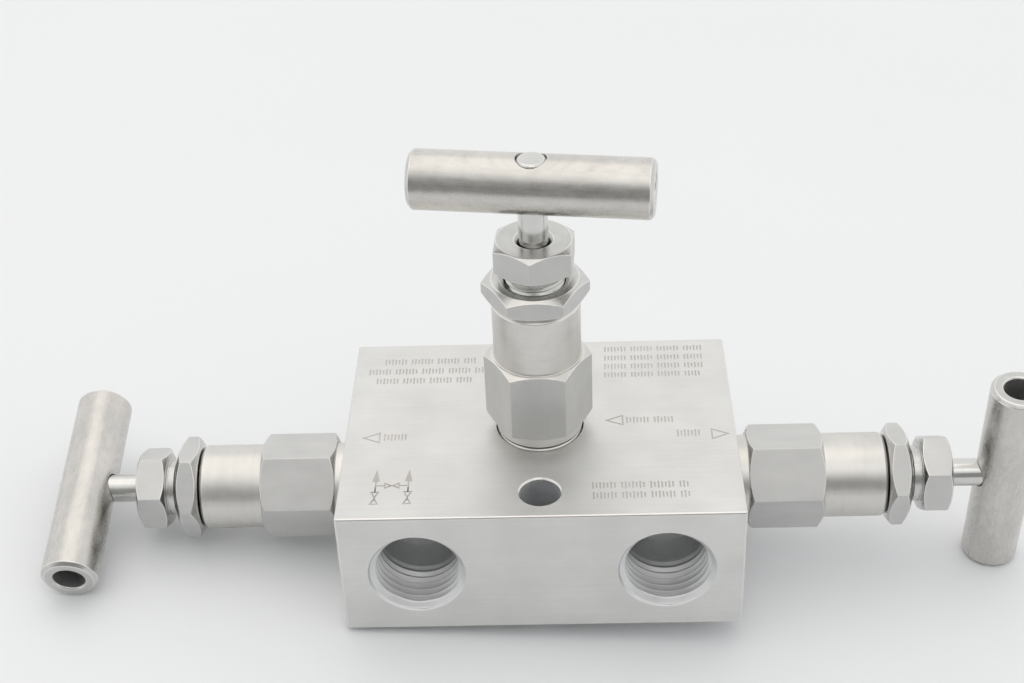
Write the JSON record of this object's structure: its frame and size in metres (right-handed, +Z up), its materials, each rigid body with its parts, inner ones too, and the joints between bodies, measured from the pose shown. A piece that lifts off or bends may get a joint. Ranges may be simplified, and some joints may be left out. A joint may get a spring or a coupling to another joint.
{
  "type": "three-valve manifold",
  "caption": "Rectangular ported block with needle valves on its top and both sides, each with a hexagon bonnet, packing adjuster and T-bar handle.",
  "frame": {"origin": "centre of the block's bottom face", "axes": "+Z up out of the block's top face, along the equalizing valve's stem; +X to the right along the row of ports, out along the right isolating valve's stem; -Y out of the process ports"},
  "size_m": [0.224, 0.0636, 0.1107],
  "materials": {
    "block_steel": "milled and lightly tumbled stainless steel, satin",
    "bonnet_steel": "turned stainless steel, satin",
    "nut_steel": "hexagon bar stainless steel, drawn flats and turned faces",
    "inner_steel": "machined stainless steel",
    "stem_steel": "ground and burnished stainless steel",
    "handle_steel": "cold-drawn round stainless bar, fine lengthwise grain",
    "packing": "white PTFE, matte",
    "black_screw": "black oxide steel"
  },
  "bodies": {
    "manifold": {"manifold_block": "block_steel", "equalize_bonnet": "bonnet_steel", "equalize_lock_nut": "nut_steel", "equalize_packing_adjuster": "nut_steel", "equalize_packing_washer": "inner_steel", "equalize_packing_ring_lower": "packing", "equalize_packing_ring_upper": "packing", "equalize_packing_follower": "inner_steel", "equalize_bonnet_seal": "packing", "left_bonnet": "bonnet_steel", "left_lock_nut": "nut_steel", "left_packing_adjuster": "nut_steel", "left_packing_washer": "inner_steel", "left_packing_ring_lower": "packing", "left_packing_ring_upper": "packing", "left_packing_follower": "inner_steel", "left_bonnet_seal": "packing", "right_bonnet": "bonnet_steel", "right_lock_nut": "nut_steel", "right_packing_adjuster": "nut_steel", "right_packing_washer": "inner_steel", "right_packing_ring_lower": "packing", "right_packing_ring_upper": "packing", "right_packing_follower": "inner_steel", "right_bonnet_seal": "packing"},
    "equalize_plug": {"equalize_stem_tip": "inner_steel"},
    "equalize_spindle": {"equalize_stem": "stem_steel", "equalize_handle": "handle_steel", "equalize_handle_set_screw": "black_screw"},
    "left_plug": {"left_stem_tip": "inner_steel"},
    "left_spindle": {"left_stem": "stem_steel", "left_handle": "handle_steel", "left_handle_set_screw": "black_screw"},
    "right_plug": {"right_stem_tip": "inner_steel"},
    "right_spindle": {"right_stem": "stem_steel", "right_handle": "handle_steel", "right_handle_set_screw": "black_screw"}
  },
  "joints": [
    {"name": "equalize_lift", "type": "slide", "parent": "manifold", "child": "equalize_plug", "axis": [0, 0, 1], "range_m": [0, 0.00387]},
    {"name": "equalize_turn", "type": "hinge", "parent": "equalize_plug", "child": "equalize_spindle", "pos_m": [0, 0, 0.09375], "axis": [0, 0, 1], "range_deg": [0, 1080]},
    {"name": "left_lift", "type": "slide", "parent": "manifold", "child": "left_plug", "axis": [-1, 0, 0], "range_m": [0, 0.00387]},
    {"name": "left_turn", "type": "hinge", "parent": "left_plug", "child": "left_spindle", "pos_m": [-0.10565, 0, 0.0152], "axis": [-1, 0, 0], "range_deg": [0, 1080]},
    {"name": "right_lift", "type": "slide", "parent": "manifold", "child": "right_plug", "axis": [1, 0, 0], "range_m": [0, 0.00387]},
    {"name": "right_turn", "type": "hinge", "parent": "right_plug", "child": "right_spindle", "pos_m": [0.10565, 0, 0.0152], "axis": [1, 0, 0], "range_deg": [0, 1080]}
  ],
  "couplings": [
    {"joint": "equalize_lift", "follows": "equalize_turn", "m_per_rad": 0.0002021},
    {"joint": "left_lift", "follows": "left_turn", "m_per_rad": 0.0002021},
    {"joint": "right_lift", "follows": "right_turn", "m_per_rad": 0.0002021}
  ]
}
